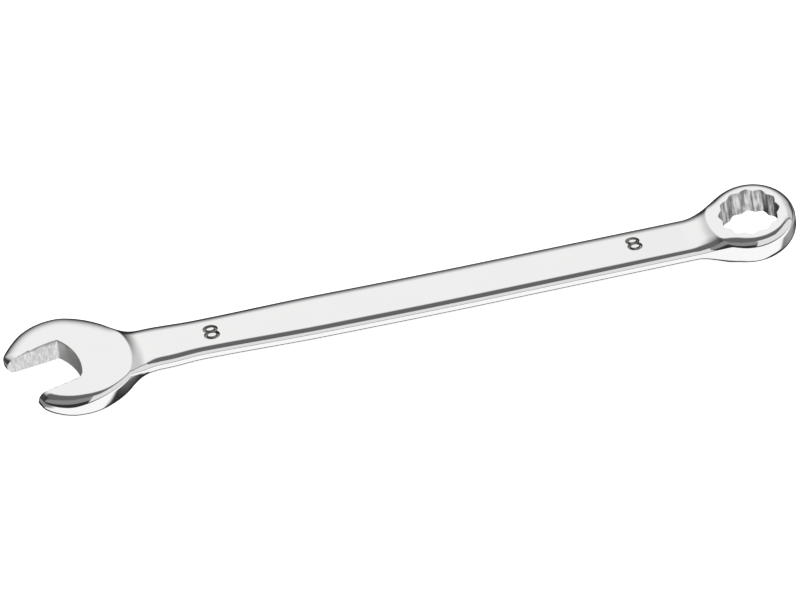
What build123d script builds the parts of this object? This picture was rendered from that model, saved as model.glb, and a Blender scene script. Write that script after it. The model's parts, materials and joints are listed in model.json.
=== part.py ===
from build123d import *
import math
import os

# ---------------------------------------------------------------------------
# Combination wrench for 8 mm hexagons: one drop forging with an open jaw at
# one end and a tilted twelve-point ring at the other.
#
# Millimetres, +Z up.  +X runs along the shank from the open jaw to the ring.
# The origin is where the jaw's centre line crosses the shank's centre line,
# half way through the thickness of the open head.
# ---------------------------------------------------------------------------

# Hexagon that the wrench fits, with its working clearance
across_flats = 8.1

# Open head
head_thickness = 3.8
head_upper_edge_radius = 0.9
head_lower_edge_radius = 1.3
jaw_angle = 15.0            # between the jaw's centre line and the shank
throat_corner = 1.45        # from the origin back to the corners of the throat, along the jaw
throat_radius = 8.0
relief_start = 1.5          # the underside is relieved from here towards the jaw tips
relief_angle = 7.0
boss_centre = (-2.2, -1.2)  # the thick head ends on this circle and steps down to the shank
boss_radius = 10.9

# Outline of the open head: chains of tangent arcs, each (radius, turn in degrees)
far_crown = (-2.05, 8.97)   # furthest point of the far jaw from the shank's line
far_to_neck = [(5.4, -19.0), (16.6, -22.0), (6.65, 41.0)]
far_to_tip = [(8.3, 47.0), (16.7, 12.0), (1.8, 53.0)]
near_crown = (-1.85, -9.27)
near_to_neck = [(12.0, 43.0), (7.8, -43.0)]
near_to_tip = [(5.0, -10.0), (7.15, -32.0), (1.5, -26.0)]

# Shank
shank_width = 7.9
shank_thickness = 2.4
shank_edge_radius = 1.1
waist = (17.5, 3.62)        # where the shank is narrowest, and half its width there
taper_end = 36.0            # from the waist, the shank widens to here
straight_length = 45.0      # it is level to here, then bends gently up to the ring
rise_radius = 1450.0

# Ring
ring_x = 103.9
ring_z = 2.17
ring_tilt = 13.0
ring_radius = 6.9
ring_upper_edge_radius = 2.1
ring_lower_edge_radius = 1.5
ring_above = 2.25           # ring face above the ring's centre, along its own axis
ring_below = 2.55
flare_radius = 11.0         # the shank opens into the ring on arcs of this radius
flute_round = 0.35          # rounding in the bottom of the ring's twelve corners
lead_in_above = 0.12
lead_in_below = 0.40

# Size marks: a recessed digit 8 at each end of the shank
digit_places = [(19.5, 0.0), (85.2, 0.6)]
digit_depth = 0.18
digit_stroke = 0.36
digit_upper_loop = (1.05, 0.74)     # half the loop's width and half its height
digit_lower_loop = (1.12, 0.82)

reach = 20.0                # longer than any cut needs
least_run = 0.01            # an edge that covers less than this along X goes across the bar


def arc_chain(start, heading, arcs):
    """Edges of tangent arcs that start at a point and a heading, and the end point and heading."""
    edges = []
    point = Vector(start[0], start[1])
    for radius, turn in arcs:
        direction = (math.cos(math.radians(heading)), math.sin(math.radians(heading)))
        arc = JernArc(start=point, tangent=direction, radius=radius, arc_size=turn)
        edges.append(arc.edge())
        point = arc @ 1
        heading += turn
    return edges, point, heading


def shank_height(x):
    """Height of the shank's middle at x: level, then on the rising arc."""
    run = max(0.0, x - straight_length)
    return rise_radius - math.sqrt(rise_radius ** 2 - run ** 2)


def head_outline():
    """The open head without its mouth, out to a line across the neck."""
    far_right, far_neck, _ = arc_chain(far_crown, 0, far_to_neck)
    far_left, far_tip, _ = arc_chain(far_crown, 180, far_to_tip)
    near_right, near_neck, _ = arc_chain(near_crown, 0, near_to_neck)
    near_left, near_tip, _ = arc_chain(near_crown, 180, near_to_tip)
    across_neck = Line(far_neck, near_neck)
    across_mouth = Line(far_tip, near_tip)
    edges = far_right + far_left + near_right + near_left
    return make_face(Wire.combine(edges + [across_neck.edge(), across_mouth.edge()])[0])


def head():
    """The thick head, before its mouth is cut. It ends on the boss circle, above and below the shank."""
    plan = head_outline() & (Pos(*boss_centre) * Circle(boss_radius))
    plate = extrude(plan, head_thickness / 2, both=True)
    plate = fillet(plate.faces().sort_by(Axis.Z)[-1].edges(), head_upper_edge_radius)
    plate = fillet(plate.faces().sort_by(Axis.Z)[0].edges(), head_lower_edge_radius)

    # The same outline with a sloping underside thins the jaws from the throat to the tips.
    below = Pos(0, 0, -reach) * Box(4 * reach, 4 * reach, 2 * reach)
    slope = Rot(0, 0, jaw_angle) * Pos(-relief_start, 0, -head_thickness / 2) * Rot(0, relief_angle, 0)
    tapered = extrude(plan, reach / 2, both=True) - slope * below
    tapered = fillet(tapered.faces().sort_by(Axis.Z)[0].edges(), head_lower_edge_radius)
    return plate & tapered


def mouth():
    """The jaw opening: two parallel flats and a curved throat."""
    half = across_flats / 2
    throat = ThreePointArc(
        (-throat_corner, half),
        (-throat_corner + throat_radius - math.sqrt(throat_radius ** 2 - half ** 2), 0),
        (-throat_corner, -half),
    )
    sides = Polyline((-throat_corner, -half), (-reach, -half), (-reach, half), (-throat_corner, half))
    plan = make_face([throat.edge()] + list(sides.edges()))
    return Rot(0, 0, jaw_angle) * extrude(plan, reach, both=True)


def shank_outline():
    """The bar from above, with its neck at the open head and its flare into the ring."""
    half = shank_width / 2
    far_right, far_neck, _ = arc_chain(far_crown, 0, far_to_neck)
    near_right, near_neck, _ = arc_chain(near_crown, 0, near_to_neck)
    flare_length = math.sqrt((ring_radius + flare_radius) ** 2 - (half + flare_radius) ** 2)
    flare_start = ring_x - flare_length
    turn = math.degrees(math.asin(flare_length / (ring_radius + flare_radius)))
    far_flare, far_end, _ = arc_chain((flare_start, half), 0, [(flare_radius, turn)])
    near_flare, near_end, _ = arc_chain((flare_start, -half), 0, [(flare_radius, -turn)])
    level = [(1, 0), (1, 0)]
    far_waist = Spline(far_neck, waist, (taper_end, half), tangents=level)
    near_waist = Spline(near_neck, (waist[0], -waist[1]), (taper_end, -half), tangents=level)
    far_side = Line((taper_end, half), (flare_start, half))
    near_side = Line((taper_end, -half), (flare_start, -half))
    across = [Line(far_crown, near_crown).edge(), Line(far_end, near_end).edge()]
    far = far_right + [far_waist.edge(), far_side.edge()] + far_flare
    near = near_right + [near_waist.edge(), near_side.edge()] + near_flare
    return make_face(Wire.combine(far + near + across)[0])


def shank_side():
    """The bar from the side: a strip that is level, then rises to the ring on an arc."""
    rise = math.degrees(math.asin((ring_x - straight_length) / rise_radius))
    faces = []
    for offset in (shank_thickness / 2, -shank_thickness / 2):
        level = Line((-reach, offset), (straight_length, offset))
        rising = JernArc(start=(straight_length, offset), tangent=(1, 0),
                         radius=rise_radius - offset, arc_size=rise)
        faces.append((level, rising))
    (upper, upper_rise), (lower, lower_rise) = faces
    edges = [upper.edge(), upper_rise.edge(), lower.edge(), lower_rise.edge(),
             Line(upper @ 0, lower @ 0).edge(), Line(upper_rise @ 1, lower_rise @ 1).edge()]
    return make_face(Wire.combine(edges)[0])


def shank():
    """The bar, as what its two outlines share, with its four long rims rounded."""
    bar = extrude(shank_outline(), reach, both=True) & extrude(Plane.XZ * shank_side(), reach, both=True)
    return fillet([edge for edge in bar.edges() if runs_along(edge)], shank_edge_radius)


def runs_along(edge):
    """True for an edge that goes along the bar, and false for one across its end."""
    return abs(edge.position_at(0.1).X - edge.position_at(0.9).X) > least_run


def ring_frame():
    """Place of the ring: its axis leans back over the shank."""
    return Pos(ring_x, 0, ring_z) * Rot(0, -ring_tilt, 0)


def ring():
    height = ring_above + ring_below
    body = Pos(0, 0, (ring_above - ring_below) / 2) * Cylinder(ring_radius, height)
    lower_rim, upper_rim = body.edges().filter_by(GeomType.CIRCLE).sort_by(Axis.Z)
    body = fillet(upper_rim, ring_upper_edge_radius)
    lower_rim = body.edges().filter_by(GeomType.CIRCLE).sort_by(Axis.Z)[0]
    body = fillet(lower_rim, ring_lower_edge_radius)
    return ring_frame() * body


def socket():
    """Twelve-point hole: two hexagons turned by 30 degrees, with rounded corners and lead-ins."""
    hexagon = RegularPolygon(across_flats / 2, 6, major_radius=False)
    star = hexagon + Rot(0, 0, 30) * hexagon
    outer_corners = star.vertices().sort_by(lambda v: math.hypot(v.X, v.Y))[-12:]
    star = fillet(outer_corners, flute_round)
    hole = extrude(star, reach / 2, both=True)
    rim = across_flats / 2 / math.cos(math.radians(30)) - flute_round / 2
    upper = Pos(0, 0, ring_above) * Cone(rim - lead_in_above, rim + lead_in_above, 2 * lead_in_above)
    lower = Pos(0, 0, -ring_below) * Cone(rim + lead_in_below, rim - lead_in_below, 2 * lead_in_below)
    return ring_frame() * (hole + upper + lower)


def loop(half_width, half_height):
    """One loop of a figure 8, as wide a stroke as digit_stroke."""
    return Ellipse(half_width, half_height) - Ellipse(half_width - digit_stroke, half_height - digit_stroke)


def digit(x, y):
    """A figure 8 as two oval grooves, one above the other, sunk into the shank's top."""
    upper = Pos(0, digit_upper_loop[1] - digit_stroke / 2) * loop(*digit_upper_loop)
    lower = Pos(0, digit_stroke / 2 - digit_lower_loop[1]) * loop(*digit_lower_loop)
    face = Pos(x, y, shank_height(x) + shank_thickness / 2)
    return face * extrude(upper + lower, digit_depth, both=True)


wrench = head() + shank() + ring()
wrench = wrench - mouth() - socket()
for place in digit_places:
    wrench = wrench - digit(*place)

os.makedirs("parts", exist_ok=True)
export_step(wrench, "parts/wrench_body.step")
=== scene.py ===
# %% [markdown]
# # A combination wrench in mirror chrome
#
# This lesson builds one small wrench: an open jaw, a flat shank and a tilted twelve-point ring, all in one
# forging.  The engineering model is loaded first and stays untouched.  It says how big everything is and
# where the jaw and the ring are, and the finished piece is built around it, in metres, in the same place.

# %% Load the engineering model
import bmesh
import bpy
import json
import math
import numpy as np
from mathutils import Matrix, Vector


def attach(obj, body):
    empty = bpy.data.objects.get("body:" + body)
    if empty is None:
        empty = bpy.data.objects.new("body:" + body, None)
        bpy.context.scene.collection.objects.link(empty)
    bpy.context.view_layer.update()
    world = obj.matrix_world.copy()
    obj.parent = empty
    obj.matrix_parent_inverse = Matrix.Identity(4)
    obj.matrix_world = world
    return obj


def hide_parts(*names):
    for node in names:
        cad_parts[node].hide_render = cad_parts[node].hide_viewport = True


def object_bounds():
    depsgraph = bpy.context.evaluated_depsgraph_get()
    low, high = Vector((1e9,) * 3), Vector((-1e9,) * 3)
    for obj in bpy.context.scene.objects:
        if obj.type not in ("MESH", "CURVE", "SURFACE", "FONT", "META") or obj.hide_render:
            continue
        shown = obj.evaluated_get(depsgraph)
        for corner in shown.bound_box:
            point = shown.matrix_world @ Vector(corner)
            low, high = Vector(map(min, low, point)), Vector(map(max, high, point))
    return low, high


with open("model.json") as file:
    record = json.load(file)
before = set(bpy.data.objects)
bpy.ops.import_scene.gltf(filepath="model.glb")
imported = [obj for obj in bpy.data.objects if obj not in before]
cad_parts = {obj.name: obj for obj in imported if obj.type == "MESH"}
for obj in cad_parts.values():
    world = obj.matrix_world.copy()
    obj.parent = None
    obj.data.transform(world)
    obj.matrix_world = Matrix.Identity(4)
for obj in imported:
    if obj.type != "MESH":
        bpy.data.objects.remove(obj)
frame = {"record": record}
cad_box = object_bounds()
record = frame["record"]
mounts = {mount["name"]: mount for mount in record["mounts"]}
print("engineering model, in metres:", [[round(v, 5) for v in corner] for corner in cad_box])

# %% [markdown]
# ## Sizes
#
# A wrench is drawn round the hexagon that it turns.  The jaw's direction, the ring's place and the ring's lean
# come from the record.  The other sizes are a maker's: how thick each part is, and how round its edges are.
# They are written in millimetres, because that is how a toolmaker says them, and turned to metres by `MM`.

# %% Places from the record, and driving sizes
MM = 0.001

jaw_out = Vector(mounts["open_jaw"]["axis"])
JAW_ANGLE = math.atan2(-jaw_out.y, -jaw_out.x)
RING_CENTRE = Vector(mounts["ring_socket"]["pos_m"])
RING_AXIS = Vector(mounts["ring_socket"]["axis"])
RING_TILT = math.atan2(-RING_AXIS.x, RING_AXIS.z)
JAW_HALF_GAP = abs(Vector(mounts["jaw_flat_far"]["pos_m"]).dot(Vector(mounts["jaw_flat_far"]["axis"])))
ACROSS_FLATS = 2 * JAW_HALF_GAP

HEAD_HALF = -cad_box[0].z
SHANK_HALF = 1.2 * MM
SHANK_HALF_WIDTH = 3.95 * MM
RING_RADIUS = 6.9 * MM
RING_ABOVE = 2.24 * MM
RING_BELOW = 2.55 * MM
print(f"jaw at {math.degrees(JAW_ANGLE):.1f} degrees, ring leaning {math.degrees(RING_TILT):.1f} degrees, "
      f"both {ACROSS_FLATS / MM:.1f} mm across flats")

# %% [markdown]
# ## Writing node trees as sums
#
# Geometry and shader trees are full of arithmetic, which is slow to read as boxes and wires.  The small class
# below wraps one socket, so that `1 - mask * 0.5` adds the Math nodes by itself.  Every other node comes from
# one method, which sets the node's options first and then its sockets, by name or by number.

# %% A graph builder and a number that makes its own Math nodes
class Graph:
    def __init__(self, tree):
        self.tree = tree

    def node(self, kind, settings=None, values=None):
        made = self.tree.nodes.new(kind)
        for name, value in (settings or {}).items():
            setattr(made, name, value)
        for key, value in (values or {}).items():
            self.feed(made.inputs[key], value)
        return made

    def feed(self, socket, value):
        if isinstance(value, Number):
            value = value.socket
        if isinstance(value, bpy.types.NodeSocket):
            self.tree.links.new(value, socket)
        else:
            socket.default_value = value

    def math(self, operation, *terms):
        made = self.node("ShaderNodeMath", {"operation": operation}, dict(enumerate(terms)))
        return Number(self, made.outputs[0])

    def number(self, socket):
        return Number(self, socket)


class Number:
    def __init__(self, graph, socket):
        self.graph = graph
        self.socket = socket

    def __add__(self, other):
        return self.graph.math("ADD", self, other)

    def __radd__(self, other):
        return self.graph.math("ADD", other, self)

    def __sub__(self, other):
        return self.graph.math("SUBTRACT", self, other)

    def __rsub__(self, other):
        return self.graph.math("SUBTRACT", other, self)

    def __mul__(self, other):
        return self.graph.math("MULTIPLY", self, other)

    def __rmul__(self, other):
        return self.graph.math("MULTIPLY", other, self)

    def __truediv__(self, other):
        return self.graph.math("DIVIDE", self, other)

    def root(self):
        return self.graph.math("SQRT", self)

    def sin(self):
        return self.graph.math("SINE", self)

    def cos(self):
        return self.graph.math("COSINE", self)

    def size(self):
        return self.graph.math("ABSOLUTE", self)

    def step(self, low, high):
        """0 below low, 1 above high, and a smooth ramp between."""
        made = self.graph.node("ShaderNodeMapRange", {"interpolation_type": "SMOOTHSTEP"},
                               {"Value": self, "From Min": low, "From Max": high})
        return Number(self.graph, made.outputs["Result"])


print("methods of a number:", [name for name in vars(Number) if not name.startswith("_")])

# %% [markdown]
# ## Running a geometry tree
#
# A geometry tree gets its sizes through named inputs.  The helper below makes the tree's interface, and a
# second one runs the tree on a starting mesh and hands back a plain mesh, so nothing is left live.  The sizes
# are set on the modifier, by each socket's identifier, before the tree is first worked out.

# %% Geometry tree helpers
SIZE_SOCKET = "NodeSocketFloat"


def geometry_tree(name, sizes):
    """An empty tree with a geometry input and output, and a named input for each size."""
    tree = bpy.data.node_groups.new(name, "GeometryNodeTree")
    tree.interface.new_socket("Geometry", in_out="INPUT", socket_type="NodeSocketGeometry")
    for label, value in sizes.items():
        made = tree.interface.new_socket(label, in_out="INPUT", socket_type=SIZE_SOCKET)
        made.default_value = value
    tree.interface.new_socket("Geometry", in_out="OUTPUT", socket_type="NodeSocketGeometry")
    graph = Graph(tree)
    inputs = graph.node("NodeGroupInput")
    output = graph.node("NodeGroupOutput")
    return graph, inputs, output


def run_tree(graph, start, name):
    """A new plain mesh object: the start mesh put through the tree, with its named inputs set."""
    carrier = bpy.data.objects.new(name + "_carrier", start)
    bpy.context.scene.collection.objects.link(carrier)
    modifier = carrier.modifiers.new("shape", "NODES")
    modifier.node_group = graph.tree
    for item in graph.tree.interface.items_tree:
        if item.in_out == "INPUT" and item.socket_type == SIZE_SOCKET:
            modifier[item.identifier] = item.default_value
    bpy.context.view_layer.update()
    evaluated = carrier.evaluated_get(bpy.context.evaluated_depsgraph_get())
    mesh = bpy.data.meshes.new_from_object(evaluated)
    mesh.name = name
    bpy.data.objects.remove(carrier)
    made = bpy.data.objects.new(name, mesh)
    bpy.context.scene.collection.objects.link(made)
    print(f"{name}: {len(mesh.polygons)} faces from the {graph.tree.name} tree")
    return made


# %% [markdown]
# ## The outline of the forging
#
# Seen from above, a wrench is a chain of arcs that meet without a corner.  Each arc is a radius and a turn, so
# the outline is written the way a draughtsman would walk along it: from the crown of each jaw to the neck, and
# from the same crown to the jaw's tip.  The shank is narrowest just past the neck, at its waist, and its level
# edge opens into the ring on one more arc.  The more an arc turns, the more points it gets, so that tight ones
# stay smooth.

# %% Chains of tangent arcs
FAR_CROWN = (-2.05, 8.97)
FAR_TO_NECK = [(5.4, -19.0), (16.6, -22.0), (6.65, 41.0)]
FAR_TO_TIP = [(8.3, 47.0), (16.7, 12.0), (1.8, 53.0)]
NEAR_CROWN = (-1.85, -9.27)
NEAR_TO_NECK = [(12.0, 43.0), (7.8, -43.0)]
NEAR_TO_TIP = [(5.0, -10.0), (7.15, -32.0), (1.5, -26.0)]
WAIST_X, WAIST_HALF = 17.5, 3.62
TAPER_END = 36.0
FLARE_RADIUS = 11.0
HEAD_STEPS = 110            # points along each chain of the head, along the bar, the flare and half the ring
BAR_STEPS = 140
FLARE_STEPS = 44
RING_STEPS = 110
LENGTH_WEIGHT = 3.0         # added to an arc's radius, so that a small arc isn't left with too few points


def walk(start, heading, arcs, count):
    """Points along tangent arcs, shared out by how far each one turns and how large it is."""
    point = np.array(start, float)
    angle = math.radians(heading)
    weights = [abs(math.radians(turn)) * (radius + LENGTH_WEIGHT) for radius, turn in arcs]
    shares = [max(2, round(count * weight / sum(weights))) for weight in weights]
    shares[-1] += count - sum(shares)
    points = [point]
    for (radius, turn), steps in zip(arcs, shares):
        side = math.copysign(1.0, turn)
        centre = point + side * radius * np.array([-math.sin(angle), math.cos(angle)])
        turns = angle + math.radians(turn) * np.arange(1, steps + 1) / steps
        points += [centre - side * radius * np.array([-math.sin(a), math.cos(a)]) for a in turns]
        point = points[-1]
        angle += math.radians(turn)
    return np.array(points)


def ease(t):
    t = np.clip(t, 0.0, 1.0)
    return t * t * (3.0 - 2.0 * t)


def edge_of(crown, to_tip, to_neck, heading_side, ring_x):
    """One side of the outline, from the jaw's tip to the far end of the ring."""
    tip = walk(crown, 180, to_tip, HEAD_STEPS)[::-1]
    neck = walk(crown, 0, to_neck, HEAD_STEPS)[1:]
    half = heading_side * SHANK_HALF_WIDTH / MM
    radius = RING_RADIUS / MM
    reach = math.sqrt((radius + FLARE_RADIUS) ** 2 - (abs(half) + FLARE_RADIUS) ** 2)
    flare_x = ring_x - reach
    x = np.linspace(neck[-1][0], flare_x, BAR_STEPS + 1)[1:]
    waist = heading_side * WAIST_HALF
    y = neck[-1][1] + (waist - neck[-1][1]) * ease((x - x[0]) / (WAIST_X - x[0]))
    y += (half - waist) * ease((x - WAIST_X) / (TAPER_END - WAIST_X))
    turn = math.degrees(math.asin(reach / (radius + FLARE_RADIUS)))
    flare = walk((flare_x, half), 0, [(FLARE_RADIUS, heading_side * turn)], FLARE_STEPS)[1:]
    start = math.radians(90.0 + turn)
    angles = start * (1.0 - np.arange(1, RING_STEPS + 1) / RING_STEPS)
    ring = np.stack([ring_x + radius * np.cos(angles), heading_side * radius * np.sin(angles)], axis=1)
    return np.concatenate([tip, neck, np.stack([x, y], axis=1), flare, ring])


print(f"neck to ring on flares of {FLARE_RADIUS} mm, waist {2 * WAIST_HALF:.2f} mm wide")

# %% [markdown]
# ## Two bends
#
# The forging is drawn flat and then bent, as the real one is.  A long, slight bend lifts the shank, and a short
# one tips the ring.  Both lines have to meet where the ring's leaning plane comes down to the shank, so the
# slight bend's angle isn't chosen: it follows from where the ring has to be.

# %% Where the bends are
RISE_MIDDLE = 53.5
RISE_LENGTH = 17.0
KNEE_X = 97.7
KNEE_LENGTH = 4.2

ring_x, ring_z = RING_CENTRE.x / MM, RING_CENTRE.z / MM
knee_z = ring_z - (ring_x - KNEE_X) * math.tan(RING_TILT)
RISE_ANGLE = math.atan2(knee_z, KNEE_X - RISE_MIDDLE)
KNEE_ANGLE = RING_TILT - RISE_ANGLE
RISE_RADIUS = RISE_LENGTH / RISE_ANGLE
KNEE_RADIUS = KNEE_LENGTH / KNEE_ANGLE
RISE_START = RISE_MIDDLE - RISE_RADIUS * math.tan(RISE_ANGLE / 2)
knee_tangent = KNEE_RADIUS * math.tan(KNEE_ANGLE / 2)
KNEE_START = (RISE_START + RISE_LENGTH + (KNEE_X - RISE_MIDDLE) / math.cos(RISE_ANGLE)
              - RISE_RADIUS * math.tan(RISE_ANGLE / 2) - knee_tangent)
FLAT_RING_X = KNEE_START + KNEE_LENGTH + (ring_x - KNEE_X) / math.cos(RING_TILT) - knee_tangent
print(f"rise {math.degrees(RISE_ANGLE):.2f} degrees, knee {math.degrees(KNEE_ANGLE):.2f} degrees, "
      f"ring centre {FLAT_RING_X:.2f} mm along the flat blank")

# %% [markdown]
# ## The blank
#
# Before it is bent, the forging is level: a thick head, a thin shank and a thick ring, with a step down from
# each face to the shank.  The underside of the jaws is thinned towards their tips, so that they reach into
# tight places.  It could be modelled as three blocks and joined, but one rule for the height over the whole
# plan leaves no seam to hide.

# %% Heights over the blank
BOSS_CENTRE = np.array([-2.2, -1.2])
BOSS_FACE = 9.6
BOSS_STEP = 2.3
CROWN_RADIUS = 45.0
RELIEF_START = 1.5
RELIEF_SLOPE = math.tan(math.radians(7.0))
RELIEF_SHARPNESS = 3.0      # the larger, the quicker the level underside turns into the slope
CROWN_HALF = 3.2            # the shank is crowned over this half of its width, and level past it
RING_FACE = 6.75
RING_STEP = 4.0
CREASE = 0.10


def face_step(distance, width):
    """1 on a raised face and 0 past it: a crease at the face's edge, then a hollow that runs out level."""
    t = (np.sqrt(distance ** 2 + CREASE ** 2) + distance) / 2 / width
    return np.clip(1.0 - t, 0.0, 1.0) ** 2


def relief_at(along_jaw):
    """How much the underside is thinned, along the jaw's own centre line."""
    return RELIEF_SLOPE * np.logaddexp(0.0, (-RELIEF_START - along_jaw) * RELIEF_SHARPNESS) / RELIEF_SHARPNESS


def heights(points, ring_x):
    """How far the upper and the lower face stand from the blank's middle, before the edges are rounded."""
    x, y = points[:, 0], points[:, 1]
    shank = SHANK_HALF / MM - np.minimum(np.abs(y), CROWN_HALF) ** 2 / (2 * CROWN_RADIUS)
    from_boss = np.hypot(x - BOSS_CENTRE[0], y - BOSS_CENTRE[1])
    on_head = face_step(from_boss - BOSS_FACE, BOSS_STEP)
    from_ring = np.hypot(x - ring_x, y)
    on_ring = face_step(from_ring - RING_FACE, RING_STEP)
    along_jaw = x * math.cos(JAW_ANGLE) + y * math.sin(JAW_ANGLE)
    relief = relief_at(along_jaw)
    head = HEAD_HALF / MM
    upper = shank + (head - shank) * on_head + (RING_ABOVE / MM - shank) * on_ring
    lower = shank + (head - relief - shank) * on_head + (RING_BELOW / MM - shank) * on_ring
    return upper, lower


thick = [2 * HEAD_HALF / MM, 2 * SHANK_HALF / MM, (RING_ABOVE + RING_BELOW) / MM]
print("head, shank and ring thick, in mm:", [round(v, 2) for v in thick])

# %% [markdown]
# ## How the edges roll over
#
# A sharp forging cuts the hand, so every edge is rolled over.  Each roll is a quarter of an oval: so far in
# from the outline, and so far down.  A bevel modifier would give one radius everywhere, but a polished wrench
# has none that is constant.  The near rim of the jaw tightens towards the neck, and the near side of the ring
# is tighter than the rest of it.

# %% Rolled edges
NECK_FROM, NECK_BLEND = 5.0, 7.0        # the head's rolls give way to the shank's over this stretch
KNEE_FROM, KNEE_BLEND = 96.0, 6.0       # and the shank's to the ring's over this one
JAW_ROLL, NECK_ROLL = 1.8, 0.75
FAR_JAW_IN, FAR_NECK_IN, FAR_JAW_DOWN = 3.0, 1.6, 1.1
SHANK_NEAR_IN, SHANK_FAR_IN, SHANK_DOWN = 1.2, 1.8, 0.75
RING_ROLL, RING_NEAR_ROLL = 2.1, 1.3
HEAD_LOWER_ROLL, SHANK_LOWER_ROLL, RING_LOWER_ROLL = 1.3, 1.1, 1.5
BATCH = 4000                            # points measured against the outline at a time


def along_bar(x, head, shank, ring):
    """A value that changes smoothly from the head to the shank to the ring."""
    past_neck = ease((x - NECK_FROM) / NECK_BLEND)
    past_knee = ease((x - KNEE_FROM) / KNEE_BLEND)
    return head + (shank - head) * past_neck + (ring - shank) * past_knee


def edges(points, ring_x):
    """How far in from the outline each face starts to roll over, and how far down it goes."""
    x, y = points[:, 0], points[:, 1]
    far = ease(y / 3.0)
    towards_neck = ease((x + 3.5) / 7.5)
    # degrees round the ring: 0 at its near side, and 90 at the wrench's end
    round_ring = np.degrees(np.arctan2(x - ring_x, -y))
    near_ring = ease((round_ring + 75.0) / 110.0) * (1 - ease((round_ring - 50.0) / 35.0))
    ring = RING_ROLL + (RING_NEAR_ROLL - RING_ROLL) * near_ring
    near_head = JAW_ROLL + (NECK_ROLL - JAW_ROLL) * towards_neck
    far_head = FAR_JAW_IN + (FAR_NECK_IN - FAR_JAW_IN) * ease((x - 3.0) / 6.0)
    near_in = along_bar(x, near_head, SHANK_NEAR_IN, ring)
    far_in = along_bar(x, far_head, SHANK_FAR_IN, ring)
    near_down = along_bar(x, near_head, SHANK_DOWN, ring)
    far_down = along_bar(x, FAR_JAW_DOWN, SHANK_DOWN, ring)
    lower = along_bar(x, HEAD_LOWER_ROLL, SHANK_LOWER_ROLL, RING_LOWER_ROLL)
    return near_in * (1 - far) + far_in * far, near_down * (1 - far) + far_down * far, lower, lower


def gap_to_outline(points, outline):
    """Distance from each point to the closed outline."""
    a = outline
    b = np.roll(outline, -1, axis=0)
    along = b - a
    length = np.maximum((along ** 2).sum(1), 1e-12)
    gaps = np.empty(len(points))
    for first in range(0, len(points), BATCH):
        q = points[first:first + BATCH, None, :] - a[None]
        t = np.clip((q * along).sum(2) / length, 0.0, 1.0)
        gaps[first:first + BATCH] = np.sqrt(((q - t[..., None] * along) ** 2).sum(2)).min(1)
    return gaps


# %% [markdown]
# ## The blank as a mesh
#
# The blank is a flat sheet of points, laid in ribs from the far edge to the near edge.  In each rib they crowd
# together at both ends, where the surface is about to roll over.  Each point carries a few numbers for the
# next step: how far it is from the outline, how high the forging stands there, and how its edge rolls over.

# %% The blank as a mesh
ACROSS = 56
LEAST_WALL = 0.1            # what is left of the side between the upper roll and the lower one


def make_blank():
    far = edge_of(FAR_CROWN, FAR_TO_TIP, FAR_TO_NECK, 1, FLAT_RING_X)
    near = edge_of(NEAR_CROWN, NEAR_TO_TIP, NEAR_TO_NECK, -1, FLAT_RING_X)
    outline = np.concatenate([far, near[::-1][1:]])
    share = (1.0 - np.cos(np.pi * np.arange(ACROSS + 1) / ACROSS)) / 2.0
    ribs = len(far) - 1
    sheet = far[:ribs, None, :] + (near - far)[:ribs, None, :] * share[None, :, None]
    sheet = sheet.reshape(-1, 2)
    gap = gap_to_outline(sheet, outline).reshape(ribs, ACROSS + 1)
    gap[:, 0] = 0.0
    gap[:, -1] = 0.0
    gap = gap.ravel()
    sheet = np.concatenate([sheet, far[-1:]])
    gap = np.append(gap, 0.0)
    upper, lower = heights(sheet, FLAT_RING_X)
    upper_in, upper_down, lower_in, lower_down = edges(sheet, FLAT_RING_X)
    fit = np.minimum(1.0, (upper + lower - LEAST_WALL) / (upper_down + lower_down))
    upper_down, lower_down = upper_down * fit, lower_down * fit

    count = len(sheet)
    plan = np.concatenate([sheet, sheet])
    values = {"side": np.concatenate([np.ones(count), -np.ones(count)]),
              "gap": np.concatenate([gap, gap]) * MM,
              "stand": np.concatenate([upper, lower]) * MM,
              "edge_in": np.concatenate([upper_in, lower_in]) * MM,
              "edge_down": np.concatenate([upper_down, lower_down]) * MM}

    row = ACROSS + 1
    faces = []
    for i in range(ribs - 1):
        for j in range(ACROSS):
            a = i * row + j
            faces.append((a, a + 1, a + row + 1, a + row))
            faces.append((count + a, count + a + row, count + a + row + 1, count + a + 1))
        for j, turned in ((0, False), (ACROSS, True)):
            a, b = i * row + j, (i + 1) * row + j
            wall = (a, b, count + b, count + a)
            faces.append(wall[::-1] if turned else wall)
    last, end = (ribs - 1) * row, count - 1
    for j in range(ACROSS):
        faces.append((j, count + j, count + j + 1, j + 1))
        faces.append((last + j, last + j + 1, end))
        faces.append((count + last + j, count + end, count + last + j + 1))
    faces.append((last, end, count + end, count + last))
    faces.append((last + ACROSS, count + last + ACROSS, count + end, end))

    mesh = bpy.data.meshes.new("blank")
    flat = np.column_stack([plan * MM, np.zeros(2 * count)])
    mesh.from_pydata(flat.tolist(), [], faces)
    for name, numbers in values.items():
        layer = mesh.attributes.new(name, "FLOAT", "POINT")
        layer.data.foreach_set("value", numbers.astype(np.float32))
    return mesh


blank = make_blank()
print("blank:", len(blank.vertices), "points,", len(blank.polygons), "faces")

# %% [markdown]
# ## Rounding and bending, as one rule
#
# The real forging is squeezed between two dies, so its surface is a rule: so high here, rolled over towards
# every edge, and then bent.  A subdivided box could be pulled into shape by hand, but a rule is exact and can
# be changed.  The tree below reads the blank's numbers, rolls the edges over, and bends the result.

# %% The forging tree
def read(graph, name):
    """A float attribute of the points."""
    return graph.number(graph.node("GeometryNodeInputNamedAttribute", {"data_type": "FLOAT"},
                                   {"Name": name}).outputs["Attribute"])


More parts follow.
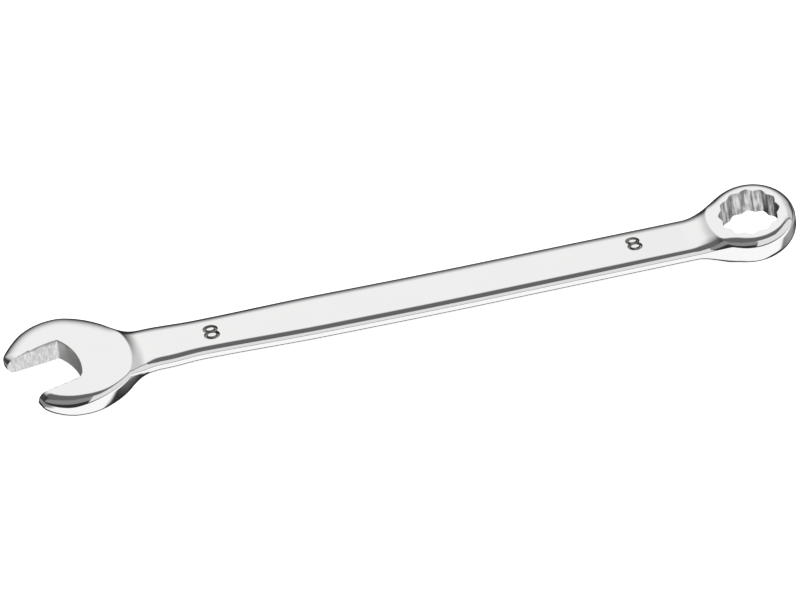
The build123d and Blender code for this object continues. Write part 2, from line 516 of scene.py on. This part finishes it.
def bend(graph, along, height, start, radius, angle):
    """The blank bent upwards on an arc: where each point goes along and up."""
    turn = graph.math("MAXIMUM", (along - start) / radius, 0.0)
    turn = graph.math("MINIMUM", turn, angle)
    past = graph.math("MAXIMUM", along - start - radius * angle, 0.0)
    before = graph.math("MINIMUM", along, start)
    return (before + (radius - height) * turn.sin() + past * angle.cos(),
            radius - (radius - height) * turn.cos() + past * angle.sin())


def finish_tree(graph, output, geometry, material):
    """Every tree ends the same way: real geometry, with its material."""
    real = graph.node("GeometryNodeRealizeInstances", None, {"Geometry": geometry})
    dressed = graph.node("GeometryNodeSetMaterial", None, {"Geometry": real.outputs[0], "Material": material})
    graph.feed(output.inputs[0], dressed.outputs[0])


def forging_tree(material):
    sizes = {"Rise start": RISE_START * MM, "Rise radius": RISE_RADIUS * MM, "Rise angle": RISE_ANGLE,
             "Knee start": KNEE_START * MM, "Knee radius": KNEE_RADIUS * MM, "Knee angle": KNEE_ANGLE}
    graph, inputs, output = geometry_tree("forging", sizes)
    size = {label: graph.number(inputs.outputs[label]) for label in sizes}
    place = graph.node("ShaderNodeSeparateXYZ", None,
                       {"Vector": graph.node("GeometryNodeInputPosition").outputs[0]})
    inside = graph.math("MAXIMUM", 1 - read(graph, "gap") / read(graph, "edge_in"), 0.0)
    drop = read(graph, "edge_down") * (1 - graph.math("MAXIMUM", 1 - inside * inside, 0.0).root())
    height = read(graph, "side") * (read(graph, "stand") - drop)
    along = graph.number(place.outputs["X"])
    along, height = bend(graph, along, height, size["Knee start"], size["Knee radius"], size["Knee angle"])
    along, height = bend(graph, along, height, size["Rise start"], size["Rise radius"], size["Rise angle"])
    moved = graph.node("ShaderNodeCombineXYZ", None, {"X": along, "Y": place.outputs["Y"], "Z": height})
    shaped = graph.node("GeometryNodeSetPosition", None,
                        {"Geometry": inputs.outputs["Geometry"], "Position": moved.outputs[0]})
    finish_tree(graph, output, shaped.outputs[0], material)
    return graph


# %% [markdown]
# ## Finishes
#
# A plated wrench has more than one finish.  The dies and the polishing wheel leave a mirror outside.  Inside
# the jaw and the ring a cutter has been, and the plating follows its marks.  So the chrome is one material with
# a faint unevenness of its polish, and each cut surface has its own, with marks that run as its cutter did.
# The throat is also painted darker than the chrome, as painted shade in the jaw's recess; its rougher satin is
# real.

# %% Materials
def finish_material(name):
    """An empty material with a graph, its shader and its object coordinates."""
    made = bpy.data.materials.new(name)
    made.use_nodes = True
    made.node_tree.nodes.clear()
    graph = Graph(made.node_tree)
    output = graph.node("ShaderNodeOutputMaterial")
    shader = graph.node("ShaderNodeBsdfPrincipled")
    graph.feed(output.inputs["Surface"], shader.outputs[0])
    place = graph.node("ShaderNodeTexCoord").outputs["Object"]
    return made, graph, shader, place


def noise(graph, place, scale, detail, turn=(0, 0, 0), stretch=(1, 1, 1)):
    """Noise from 0 to 1 on a place that is turned and then stretched."""
    turned = graph.node("ShaderNodeMapping", {"vector_type": "POINT"}, {"Vector": place, "Rotation": turn})
    pulled = graph.node("ShaderNodeMapping", {"vector_type": "POINT"},
                        {"Vector": turned.outputs[0], "Scale": stretch})
    made = graph.node("ShaderNodeTexNoise", None,
                      {"Vector": pulled.outputs[0], "Scale": scale, "Detail": detail})
    return graph.number(made.outputs["Fac"])


def tint(graph, amount, dark, light):
    """A colour between two, by a number."""
    made = graph.node("ShaderNodeMix", {"data_type": "RGBA"})
    graph.feed(made.inputs[0], amount)
    graph.feed(made.inputs[6], (*dark, 1.0))
    graph.feed(made.inputs[7], (*light, 1.0))
    return made.outputs[2]


def bumped(graph, shader, height, distance):
    """Fine relief in the shading: the height is 0 to 1, and the distance is its depth in metres."""
    made = graph.node("ShaderNodeBump", None, {"Height": height, "Distance": distance, "Strength": 1.0})
    graph.feed(shader.inputs["Normal"], made.outputs[0])


def polished_chrome():
    made, graph, shader, place = finish_material("polished_chrome")
    cloud = noise(graph, place, 160.0, 3.0)
    fine = noise(graph, place, 1400.0, 2.0, stretch=(0.25, 1, 1))
    graph.feed(shader.inputs["Base Color"], tint(graph, cloud, (0.925, 0.925, 0.92), (0.955, 0.955, 0.95)))
    shader.inputs["Metallic"].default_value = 1.0
    graph.feed(shader.inputs["Roughness"], 0.045 + cloud * 0.03 + fine * 0.02)
    bumped(graph, shader, fine, 0.0000006)
    return made


def cut_metal(name, dark, light, rough, mark_scale, turn, stretch, depth):
    """A machined surface: fine marks pulled out along the cutter's way, over a slower unevenness."""
    made, graph, shader, place = finish_material(name)
    marks = noise(graph, place, mark_scale, 3.0, turn, stretch).step(0.35, 0.68)
    patches = noise(graph, place, mark_scale * 0.3, 2.0, turn, stretch)
    worn = marks * 0.7 + patches * 0.3
    graph.feed(shader.inputs["Base Color"], tint(graph, worn, dark, light))
    shader.inputs["Metallic"].default_value = 1.0
    graph.feed(shader.inputs["Roughness"], rough + (1 - worn) * 0.18)
    bumped(graph, shader, marks, depth)
    return made


chrome = polished_chrome()
jaw_flat = cut_metal("shaped_jaw_flat", (0.70, 0.70, 0.72), (1.0, 1.0, 1.0), 0.34, 4000.0,
                     (0, 0, -JAW_ANGLE), (1, 1, 0.28), 0.00002)
# The throat is satin, and its colour is also painted darker than the chrome: painted shade in the jaw's recess.
throat = cut_metal("satin_throat_painted_shade", (0.66, 0.66, 0.65), (0.80, 0.80, 0.79), 0.58, 900.0,
                   (0, 0, -JAW_ANGLE), (1, 1, 0.15), 0.000004)
flute = cut_metal("broached_flute", (0.20, 0.20, 0.20), (1.0, 1.0, 1.0), 0.32, 1700.0,
                  (0, RING_TILT, 0), (1, 1, 0.20), 0.00003)
# The stamped figures are painted dark: painted shade inside the grooves, which are plated like the rest.
stamped = cut_metal("stamped_groove_painted_shade", (0.10, 0.10, 0.095), (0.42, 0.42, 0.41), 0.12, 1800.0,
                    (0, 0, 0), (1, 1, 1), 0.000004)
print("materials:", [material.name for material in bpy.data.materials])

# %% [markdown]
# ## The cutters
#
# The jaw and the ring's hole are cut, so here they are cut too: each cutter is a closed shape, taken away from
# the forging with an exact boolean that hands the cutter's own material to the surface it leaves.  The mouth's
# cutter opens out a little where it meets each face, which breaks the edge as a deburring wheel would.

# %% The mouth cutter
THROAT_CORNER = 1.45
THROAT_RADIUS = 8.0
EDGE_BREAK = 0.20
BREAK_TURN = math.radians(65.0)
MOUTH_REACH = 20.0          # the cutter runs out past the jaw tips
FLAT_POINTS = 40
WALL_STEPS = 60
CORNER_STEPS = 6            # steps of the wall that the rounded near corner takes up
CORNER_RUN = 0.7            # and how far it runs on to the near flat
OVERSHOOT = 0.5             # past the rounded edge, the cutter flares out by this much more


def mouth_profile():
    """The mouth's outline along and across the jaw, from the far flat round to the near one."""
    half = JAW_HALF_GAP / MM
    centre = -THROAT_CORNER - math.sqrt(THROAT_RADIUS ** 2 - half ** 2)
    lean = math.asin(half / THROAT_RADIUS)
    arc = np.linspace(lean, -lean, WALL_STEPS + 1)
    wall = np.stack([centre + THROAT_RADIUS * np.cos(arc), THROAT_RADIUS * np.sin(arc)], axis=1)
    far = np.stack([np.linspace(-MOUTH_REACH, -THROAT_CORNER, FLAT_POINTS), np.full(FLAT_POINTS, half)], axis=1)
    near = far[::-1] * (1, -1)
    arc_end = len(wall) - 1 - CORNER_STEPS
    blend_from, blend_to = wall[arc_end], np.array([-THROAT_CORNER - CORNER_RUN, -half])
    t = np.linspace(0.0, 1.0, 12)[:, None]
    corner = near[0]
    blend = (1 - t) ** 2 * blend_from + 2 * t * (1 - t) * corner + t ** 2 * blend_to
    near = near[near[:, 0] < blend_to[0] - 0.05]
    return far, np.concatenate([wall[:arc_end], blend]), near


def along_profile_normals(points):
    """At each point of a run, the unit normal on its left."""
    run = np.gradient(points, axis=0)
    run /= np.linalg.norm(run, axis=1)[:, None]
    return np.stack([-run[:, 1], run[:, 0]], axis=1)


def mouth_cutter(flat_material, wall_material):
    far, wall, near = mouth_profile()
    runs = [far, wall, near]
    points = np.concatenate(runs)
    normals = np.concatenate([along_profile_normals(run) for run in runs])
    count = len(points)
    turns = np.linspace(0.0, BREAK_TURN, 6)
    out = np.append(EDGE_BREAK * (1 - np.cos(turns)), EDGE_BREAK * (1 - math.cos(BREAK_TURN)) + OVERSHOOT)
    down = np.append(EDGE_BREAK * (math.sin(BREAK_TURN) - np.sin(turns)), -OVERSHOOT / math.tan(BREAK_TURN))
    relief = relief_at(points[:, 0])
    levels = []
    for offset, depth in list(zip(out, down))[::-1]:
        levels.append((points + normals * offset, np.full(count, HEAD_HALF / MM - depth)))
    for offset, depth in zip(out, down):
        levels.append((points + normals * offset, -(HEAD_HALF / MM - relief - depth)))
    cos_jaw, sin_jaw = math.cos(JAW_ANGLE), math.sin(JAW_ANGLE)
    vertices = []
    for plan, z in levels:
        x = plan[:, 0] * cos_jaw - plan[:, 1] * sin_jaw
        y = plan[:, 0] * sin_jaw + plan[:, 1] * cos_jaw
        vertices.append(np.stack([x, y, z], axis=1))
    faces, kinds = [], []
    for level in range(len(levels) - 1):
        for i in range(count):
            j = (i + 1) % count
            a, b = level * count, (level + 1) * count
            faces.append((a + i, a + j, b + j, b + i))
            kinds.append(1 if len(far) - 1 <= i < len(far) + len(wall) - 1 else 0)
    faces.append(tuple(range(count))[::-1])
    faces.append(tuple(range((len(levels) - 1) * count, len(levels) * count)))
    kinds += [0, 0]
    mesh = bpy.data.meshes.new("mouth_cutter")
    mesh.from_pydata((np.concatenate(vertices) * MM).tolist(), [], faces)
    mesh.materials.append(flat_material)
    mesh.materials.append(wall_material)
    mesh.polygons.foreach_set("material_index", kinds)
    return closed_object(mesh)


def closed_object(mesh):
    """An object for a closed mesh, with its faces turned outwards."""
    work = bmesh.new()
    work.from_mesh(mesh)
    bmesh.ops.recalc_face_normals(work, faces=work.faces)
    work.to_mesh(mesh)
    work.free()
    made = bpy.data.objects.new(mesh.name, mesh)
    bpy.context.scene.collection.objects.link(made)
    print(f"{mesh.name}: {len(mesh.polygons)} faces")
    return made


# %% [markdown]
# ## The twelve-point hole
#
# The ring's hole is two hexagons, one turned by thirty degrees, so it takes a nut in twelve positions.  The
# distance from the axis to the wall then follows a rule in the angle alone, which is what a geometry tree is
# good at: it starts from a plain cylinder and moves each point in or out.  The rule also rounds the corners
# and the points a little, as a worn broach does.  Two cones open the hole's ends, to lead the nut in.

# %% The broach tree and the lead-in tree
POINTS = 12
CORNER_ROUND = math.radians(5.0)
TIP_ROUND = math.radians(2.2)
FLUTE_DEEPER = 1.75         # times as deep as two plain hexagons would make the flutes
BROACH_LENGTH = 20.0 * MM


def placed_in_ring(graph, geometry):
    """Turned and moved from the origin to the ring's axis."""
    return graph.node("GeometryNodeTransform", None,
                      {"Geometry": geometry, "Translation": RING_CENTRE,
                       "Rotation": (0.0, -RING_TILT, 0.0)}).outputs[0]


def broach_tree(material):
    sizes = {"Flat radius": JAW_HALF_GAP, "Corner round": CORNER_ROUND, "Point round": TIP_ROUND}
    graph, inputs, output = geometry_tree("broach", sizes)
    bar = graph.node("GeometryNodeMeshCylinder", {"fill_type": "NGON"},
                     {"Vertices": 24 * POINTS, "Side Segments": 1, "Radius": 1.0,
                      "Depth": BROACH_LENGTH})
    place = graph.node("ShaderNodeSeparateXYZ", None,
                       {"Vector": graph.node("GeometryNodeInputPosition").outputs[0]})
    x, y = graph.number(place.outputs["X"]), graph.number(place.outputs["Y"])
    step_angle = 2 * math.pi / POINTS
    angle = graph.math("ARCTAN2", y, x)
    from_point = (graph.math("FLOORED_MODULO", angle + step_angle / 2, step_angle) - step_angle / 2).size()
    from_corner = step_angle / 2 - from_point
    corner_round = graph.number(inputs.outputs["Corner round"])
    point_round = graph.number(inputs.outputs["Point round"])
    soft_corner = (from_corner * from_corner + corner_round * corner_round).root()
    soft_point = (from_point * from_point + point_round * point_round).root()
    near_corner = (step_angle / 4 - from_corner).step(-0.06, 0.06)
    turn = near_corner * soft_corner + (1 - near_corner) * (step_angle / 2 - soft_point)
    flat = graph.number(inputs.outputs["Flat radius"])
    tip = flat / math.cos(step_angle / 2)
    reach = tip + (flat / (math.pi / 6 - turn).cos() - tip) * FLUTE_DEEPER
    moved = graph.node("ShaderNodeCombineXYZ", None, {"X": x * reach, "Y": y * reach, "Z": place.outputs["Z"]})
    shaped = graph.node("GeometryNodeSetPosition", None,
                        {"Geometry": bar.outputs["Mesh"], "Position": moved.outputs[0]})
    finish_tree(graph, output, placed_in_ring(graph, shaped.outputs[0]), material)
    return graph


LEAD_IN_ABOVE = 0.15
LEAD_IN_BELOW = 0.42
RIM = JAW_HALF_GAP / MM / math.cos(math.pi / 12) + 0.02


def lead_in_tree(material):
    graph, inputs, output = geometry_tree("lead_in", {"Rim": RIM * MM})
    join = graph.node("GeometryNodeJoinGeometry")
    rim = graph.number(inputs.outputs["Rim"])
    ends = ((RING_ABOVE, LEAD_IN_ABOVE * MM, True), (-RING_BELOW, LEAD_IN_BELOW * MM, False))
    for height, lead, top_wider in ends:
        wide, narrow = rim + lead, rim - lead
        cone = graph.node("GeometryNodeMeshCone", {"fill_type": "NGON"},
                          {"Vertices": 144, "Side Segments": 1, "Fill Segments": 1, "Depth": 2 * lead,
                           "Radius Top": wide if top_wider else narrow,
                           "Radius Bottom": narrow if top_wider else wide})
        moved = graph.node("GeometryNodeTransform", None,
                           {"Geometry": cone.outputs["Mesh"], "Translation": (0.0, 0.0, height - lead)})
        graph.tree.links.new(moved.outputs[0], join.inputs[0])
    finish_tree(graph, output, placed_in_ring(graph, join.outputs[0]), material)
    return graph


# %% [markdown]
# ## The stamped size
#
# The wrench's size is struck into the shank twice with a punch, before plating.  A figure 8 is two loops, so
# each is an oval line swept with a small round, half sunk in the shank's face.
# Their grooves are painted dark, as painted shade inside the struck figures.

# %% The stamp tree
DIGIT_PLACES = [(19.5, 0.0), (85.2, 0.6)]
GROOVE = 0.28
UPPER_LOOP = (0.84, 0.56)
LOWER_LOOP = (0.90, 0.62)


def stamp_height(x):
    """The middle of the shank's upper face, once it is bent."""
    lifted = max(0.0, x - RISE_MIDDLE) * math.tan(RISE_ANGLE)
    return lifted + SHANK_HALF / MM


def stamp_tree(material, loop, side):
    graph, inputs, output = geometry_tree("stamp", {"Groove": GROOVE * MM})
    join = graph.node("GeometryNodeJoinGeometry")
    line = graph.node("GeometryNodeCurvePrimitiveCircle", None, {"Resolution": 56, "Radius": MM})
    oval = graph.node("GeometryNodeTransform", None,
                      {"Geometry": line.outputs["Curve"], "Scale": (loop[0], loop[1], 1.0)})
    punch = graph.node("GeometryNodeCurvePrimitiveCircle", None,
                       {"Resolution": 18, "Radius": inputs.outputs["Groove"]})
    swept = graph.node("GeometryNodeCurveToMesh", None,
                       {"Curve": oval.outputs[0], "Profile Curve": punch.outputs["Curve"]})
    for x, y in DIGIT_PLACES:
        place = Vector((x, y + side * loop[1], stamp_height(x))) * MM
        moved = graph.node("GeometryNodeTransform", None,
                           {"Geometry": swept.outputs[0], "Translation": place})
        graph.tree.links.new(moved.outputs[0], join.inputs[0])
    finish_tree(graph, output, join.outputs[0], material)
    return graph


# %% [markdown]
# ## Forge, then cut
#
# The order is the factory's: the blank is forged and bent, then the jaw is cut, the ring is broached and
# countersunk, and the size is struck last.  The shading is smooth, except where a cut has left a real corner.

# %% Forge, then cut
SHARP_ANGLE = math.radians(32)


def cut(body, cutter):
    """The body less the cutter, which is then thrown away.  The cutter's materials come across."""
    modifier = body.modifiers.new("cut", "BOOLEAN")
    modifier.operation = "DIFFERENCE"
    modifier.solver = "EXACT"
    modifier.material_mode = "TRANSFER"
    modifier.object = cutter
    bpy.context.view_layer.update()
    evaluated = body.evaluated_get(bpy.context.evaluated_depsgraph_get())
    mesh = bpy.data.meshes.new_from_object(evaluated)
    body.modifiers.remove(modifier)
    old = body.data
    body.data = mesh
    bpy.data.meshes.remove(old)
    bpy.data.objects.remove(cutter)


empty_start = bpy.data.meshes.new("empty_start")
wrench = run_tree(forging_tree(chrome), blank, "chrome_wrench")
cut(wrench, mouth_cutter(jaw_flat, throat))
cut(wrench, run_tree(broach_tree(flute), empty_start, "broach_cutter"))
cut(wrench, run_tree(lead_in_tree(chrome), empty_start, "lead_in_cutter"))
for loop, side in ((UPPER_LOOP, 1), (LOWER_LOOP, -1)):
    cut(wrench, run_tree(stamp_tree(stamped, loop, side), empty_start, "stamp_cutter"))
wrench.data.shade_smooth()
wrench.data.set_sharp_from_angle(angle=SHARP_ANGLE)
print("cut:", len(wrench.data.polygons), "faces, materials", [m.name for m in wrench.data.materials])

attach(wrench, "root")
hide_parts("wrench_body")

# %% [markdown]
# ## Floor
#
# A small chrome thing stands on a white sweep.  Its colour is then mostly what stands round it, so the
# floor and the lights are part of the finish.  The floor is just under the lowest point of the wrench, and
# carries a hardly visible unevenness.  The chrome doesn't mirror it: what the chrome sees from below is painted
# with the rest of the studio.

# %% The floor
FLOOR_SIZE = 6.0
FLOOR_GAP = 0.02 * MM


def floor_material():
    made, graph, shader, place = finish_material("floor_paper")
    grain = noise(graph, place, 30.0, 3.0)
    graph.feed(shader.inputs["Base Color"], tint(graph, grain, (0.86, 0.86, 0.86), (0.88, 0.88, 0.88)))
    shader.inputs["Roughness"].default_value = 0.9
    shader.inputs["Specular IOR Level"].default_value = 0.0
    shader.inputs["Emission Color"].default_value = (1.0, 1.0, 1.0, 1.0)
    shader.inputs["Emission Strength"].default_value = 0.72
    return made


def floor_sheet(height):
    half = FLOOR_SIZE / 2
    corners = [(-half, -half, height), (half, -half, height), (half, half, height), (-half, half, height)]
    mesh = bpy.data.meshes.new("floor")
    mesh.from_pydata(corners, [], [(0, 1, 2, 3)])
    mesh.materials.append(floor_material())
    made = bpy.data.objects.new("floor", mesh)
    bpy.context.scene.collection.objects.link(made)
    made.visible_glossy = False


floor_height = cad_box[0].z - FLOOR_GAP
floor_sheet(floor_height)
print(f"floor at {floor_height / MM:.2f} mm")

# %% [markdown]
# ## Lights
#
# Chrome shows what it faces.  A long softbox behind gives the top its even light, a dark gap overhead draws the
# line where the edge rolls over, and a second softbox by the camera lights the side.  They are far away
# compared with the wrench, so they are painted on the sky by direction.  `over` is the angle in degrees round
# the wrench's length: 0 at the far horizon, 90 overhead, 180 at the near one, and negative below.  `x` is how
# much a direction points towards the ring.

# %% The sky
SOFTBOX, FLAG, FRONT, BOUNCE = 0.885, 0.10, 0.74, 0.97      # how bright each part of the studio is
GREY_RIGHT, GREY_LEFT, DARK_END, DIM = 0.40, 0.22, 0.05, 0.03
END_FADE = 0.36             # the softbox loses this share of its light towards its ends
RIGHT_SHIFT = 9.0           # on the ring's side, the softbox reaches this many degrees further over


def studio_sky():
    world = bpy.data.worlds.new("studio")
    bpy.context.scene.world = world
    world.use_nodes = True
    world.node_tree.nodes.clear()
    graph = Graph(world.node_tree)
    place = graph.node("ShaderNodeTexCoord").outputs["Generated"]
    parts = graph.node("ShaderNodeSeparateXYZ", None, {"Vector": place})
    x, y, z = (graph.number(parts.outputs[name]) for name in "XYZ")
    over = graph.math("ARCTAN2", z, y) * (180.0 / math.pi)

    to_right = x.step(0.24, 0.44)
    from_left = x.step(-0.78, -0.50)
    fall = 1 - (x - 0.05).size().step(0.18, 0.62) * END_FADE
    past_softbox = (over - to_right * RIGHT_SHIFT).step(57.0, 70.0)
    softbox = over.step(-3.0, 40.0) * (1 - past_softbox)
    past_flag = (over - 110.0 + to_right * 29.0).step(-1.5, 1.5)
    flag = past_softbox * (1 - past_flag)
    front = past_flag * (1 - over.step(169.0, 173.0))
    upper = softbox * fall * SOFTBOX + flag * FLAG + front * FRONT
    bounce = (1 - (over + x.step(0.30, 0.50) * 22.0).step(-100.0, -92.0)) * over.step(-179.0, -176.0)
    grey_right = x.step(0.60, 0.95) * over.step(-134.0, -112.0) * (1 - over.step(-30.0, -8.0))
    grey_left = (1 - x.step(-0.85, -0.65)) * (1 - over.step(-20.0, -5.0))
    white = bounce * BOUNCE
    lower = white + (GREY_RIGHT - white) * grey_right
    lower = lower + (GREY_LEFT - lower) * grey_left
    above = z.step(-0.01, 0.01)
    light = above * upper * (DARK_END + from_left * (1 - DARK_END)) + (1 - above) * lower + DIM
    shade = graph.node("ShaderNodeBackground", None, {"Color": (1.0, 1.0, 1.0, 1.0)})
    graph.feed(shade.inputs["Strength"], light)
    output = graph.node("ShaderNodeOutputWorld")
    graph.feed(output.inputs["Surface"], shade.outputs[0])
    print("sky:", len(world.node_tree.nodes), "nodes")


studio_sky()

# %% [markdown]
# ## A lamp and a board
#
# A broad lamp overhead lights the floor, and keeps the wrench's shadow faint.  One grey board is so close that
# the sky can't stand for it: it ends part of the way along the wrench, so the ring sees less of it than the
# head does.  So it is a real sheet, bent round the wrench's length, and only the chrome sees it.

# %% The lamp and the hood
HOOD_RADIUS = 236.0 * MM
HOOD_START, HOOD_END = -600.0 * MM, 36.0 * MM
HOOD_STEPS = 35
HOOD_TURN = (110.0, 180.0)              # the part of a full turn that the board covers, in degrees
FOOT_TURN = (147.0, 150.0)              # where its grey gives way to its black foot
HOOD_BLACK, HOOD_GREY = 0.03, 0.25
LAMP_PLACE = (0.05, 0.0, 1.2)
LAMP_SIZE = 2.4
LAMP_POWER = 14.0


def overhead_light():
    lamp = bpy.data.lights.new("overhead", "AREA")
    lamp.shape = "SQUARE"
    lamp.size = LAMP_SIZE
    lamp.energy = LAMP_POWER
    made = bpy.data.objects.new("overhead", lamp)
    made.location = LAMP_PLACE
    made.visible_glossy = False
    bpy.context.scene.collection.objects.link(made)


def camera_hood():
    """The grey board by the camera: part of a tube round the wrench's length, black at its foot."""
    made, graph, shader, place = finish_material("hood_board")
    parts = graph.node("ShaderNodeSeparateXYZ", None, {"Vector": place})
    over = graph.math("ARCTAN2", graph.number(parts.outputs["Z"]), graph.number(parts.outputs["Y"]))
    foot = over.step(*np.radians(FOOT_TURN).tolist())
    tone = HOOD_BLACK + (1 - foot) * (HOOD_GREY - HOOD_BLACK)
    shader.inputs["Base Color"].default_value = (0.0, 0.0, 0.0, 1.0)
    shader.inputs["Specular IOR Level"].default_value = 0.0
    graph.feed(shader.inputs["Emission Color"], tint(graph, tone, (0, 0, 0), (1, 1, 1)))
    shader.inputs["Emission Strength"].default_value = 1.0
    turns = np.radians(np.linspace(*HOOD_TURN, HOOD_STEPS + 1))
    vertices = [(x, HOOD_RADIUS * math.cos(turn), HOOD_RADIUS * math.sin(turn))
                for turn in turns for x in (HOOD_START, HOOD_END)]
    faces = [(i, i + 1, i + 3, i + 2) for i in range(0, len(vertices) - 2, 2)]
    mesh = bpy.data.meshes.new("camera_hood")
    mesh.from_pydata(vertices, [], faces)
    mesh.materials.append(made)
    hood = bpy.data.objects.new("camera_hood", mesh)
    bpy.context.scene.collection.objects.link(hood)
    hood.visible_camera = False
    hood.visible_diffuse = False
    hood.visible_shadow = False
    print(f"hood: {len(mesh.polygons)} strips, ending {HOOD_END / MM:.0f} mm along the wrench")


overhead_light()
camera_hood()

# %% [markdown]
# ## Camera
#
# A small tool is pictured from well back with a long lens, so that its two ends keep their proportions.  The
# camera's turn is written as its own right and up, which is easier to check than three angles.

# %% Camera
CAMERA_PLACE = Vector((-26.8, -239.96, 248.59)) * MM
CAMERA_RIGHT = Vector((0.9589, -0.2835, 0.0156))
CAMERA_UP = Vector((0.1887, 0.6774, 0.711))
LENS = 107.24


def aim_camera():
    data = bpy.data.cameras.new("camera")
    data.sensor_width = 36.0
    data.lens = LENS
    data.clip_start = 0.01
    camera = bpy.data.objects.new("camera", data)
    turn = Matrix((CAMERA_RIGHT, CAMERA_UP, CAMERA_RIGHT.cross(CAMERA_UP))).transposed().to_4x4()
    camera.matrix_world = Matrix.Translation(CAMERA_PLACE) @ turn
    bpy.context.scene.collection.objects.link(camera)
    bpy.context.scene.camera = camera
    bpy.context.scene.view_settings.view_transform = "Standard"


aim_camera()
print(f"camera {CAMERA_PLACE.length:.2f} m away, {LENS} mm lens")

# %% [markdown] ## Sizes The finished wrench must be the engineering model's size.
